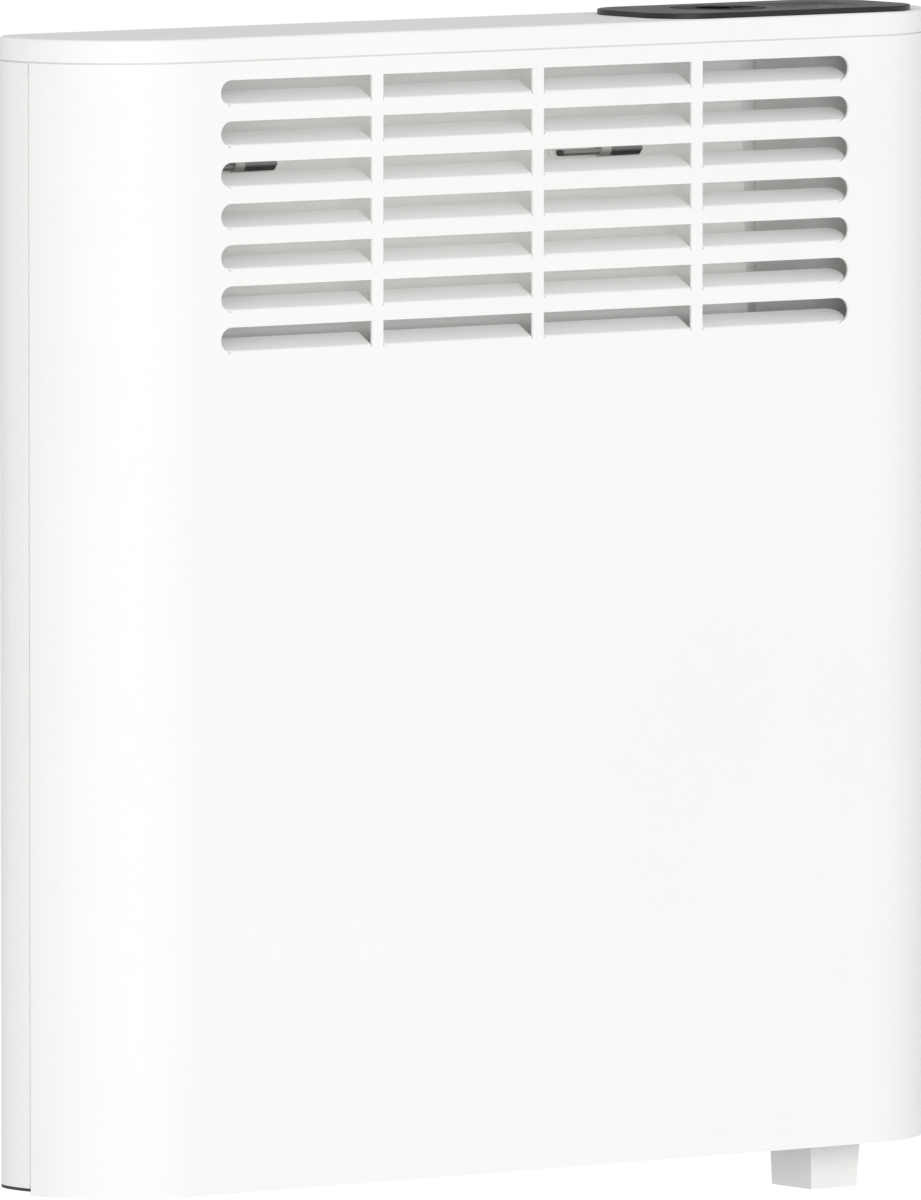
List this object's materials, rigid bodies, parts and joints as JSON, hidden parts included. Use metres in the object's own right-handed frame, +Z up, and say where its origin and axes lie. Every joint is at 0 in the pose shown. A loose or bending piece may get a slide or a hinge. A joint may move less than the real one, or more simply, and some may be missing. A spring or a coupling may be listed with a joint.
{
  "type": "electric convector heater",
  "caption": "Wall-hung electric convector heater: flat rounded sheet casing, rows of pressed outlet louvres, black top control panel, sensor pod below and hook-on wall bracket.",
  "frame": {"origin": "middle of the four wall-screw holes, on the wall plane", "axes": "+Z up, front faces -Y, +Y into the wall, +X to the right seen from the front"},
  "size_m": [0.434, 0.1, 0.4724],
  "materials": {
    "white_paint": "fine satin powder coat",
    "dark_plastic": "matt",
    "panel_black": "fine satin",
    "dial_black": "gloss well",
    "button_black": "satin",
    "display_window": "polished dark window",
    "display_grey": "satin",
    "circuit_board": "solder mask",
    "light_pipe": "translucent",
    "component_black": "matt",
    "relay_blue": "moulded",
    "winding_yellow": "taped winding",
    "inner_sheet": "aluminised sheet",
    "inner_white": "satin paint",
    "zinc_steel": "zinc plated",
    "bracket_steel": "galvanised sheet",
    "fin_aluminium": "extruded",
    "sheath_steel": "heat tinted",
    "ceramic": "ceramic",
    "cutout_brown": "moulded",
    "lead_grey": "grey insulation and collar",
    "sleeve_black": "woven sleeve",
    "lead_white": "insulation",
    "lead_dark": "insulation",
    "rubber_black": "soft",
    "terminal_white": "moulded",
    "brass": "plain",
    "white_plastic": "satin",
    "latch_plastic": "moulded"
  },
  "bodies": {
    "heater": {"front_casing": "white_paint", "rear_chassis": "white_paint", "top_cap": "white_paint", "inlet_grille": "dark_plastic", "control_panel": "panel_black", "dial_encoder": "zinc_steel", "button_switches": "component_black", "display_lens": "display_window", "display_module": "display_grey", "display_board": "circuit_board", "indicator_lens": "light_pipe", "control_housing": "dark_plastic", "panel_screws": "zinc_steel", "front_heat_shield": "inner_sheet", "rear_heat_shield": "inner_sheet", "shield_spacers": "zinc_steel", "shield_screws": "zinc_steel", "air_deflector": "inner_white", "partition_plate": "inner_white", "channel_end_plate": "inner_sheet", "channel_rivets": "zinc_steel", "heating_element_fins": "fin_aluminium", "element_sheath": "sheath_steel", "element_bushes": "ceramic", "element_terminals": "zinc_steel", "thermal_cutout": "cutout_brown", "outlet_limiter_left": "lead_grey", "outlet_limiter_right": "lead_grey", "limiter_sleeves": "sleeve_black", "limiter_leads": "lead_white", "lead_grommets": "rubber_black", "power_board": "circuit_board", "relay": "relay_blue", "board_transformer": "winding_yellow", "board_capacitor": "component_black", "board_standoffs": "zinc_steel", "terminal_block": "terminal_white", "terminal_screws": "zinc_steel", "earth_screw": "brass", "element_leads": "lead_white", "supply_leads": "lead_dark", "sensor_lead": "lead_dark", "panel_lead": "lead_dark", "cable_grommet": "rubber_black", "sensor_pod": "white_plastic", "air_sensor": "component_black", "pod_screws": "zinc_steel", "casing_screws": "zinc_steel", "cap_screws": "zinc_steel", "bracket_upright_left": "bracket_steel", "bracket_upright_right": "bracket_steel", "bracket_rail_top": "bracket_steel", "bracket_rail_bottom": "bracket_steel", "bracket_pads": "rubber_black"},
    "dial": {"temperature_dial": "dial_black", "dial_shaft": "zinc_steel"},
    "power_key": {"power_button": "button_black"},
    "mode_key": {"mode_button": "button_black"},
    "latch_left": {"bracket_latch_left": "latch_plastic"},
    "latch_right": {"bracket_latch_right": "latch_plastic"}
  },
  "joints": [
    {"name": "dial_turn", "type": "hinge", "parent": "heater", "child": "dial", "pos_m": [0.114, -0.0663, 0.225], "axis": [0, 0, 1], "range_deg": [-135, 135]},
    {"name": "power_press", "type": "slide", "parent": "heater", "child": "power_key", "axis": [0, 0, -1], "range_m": [0, 0.001], "stiffness_N_per_m": 1500, "springref_m": -0.001},
    {"name": "mode_press", "type": "slide", "parent": "heater", "child": "mode_key", "axis": [0, 0, -1], "range_m": [0, 0.001], "stiffness_N_per_m": 1500, "springref_m": -0.001},
    {"name": "latch_left_turn", "type": "hinge", "parent": "heater", "child": "latch_left", "pos_m": [-0.118, -0.025, 0.175], "axis": [0, -1, 0], "range_deg": [0, 90]},
    {"name": "latch_right_turn", "type": "hinge", "parent": "heater", "child": "latch_right", "pos_m": [0.118, -0.025, 0.175], "axis": [0, 1, 0], "range_deg": [0, 90]}
  ]
}
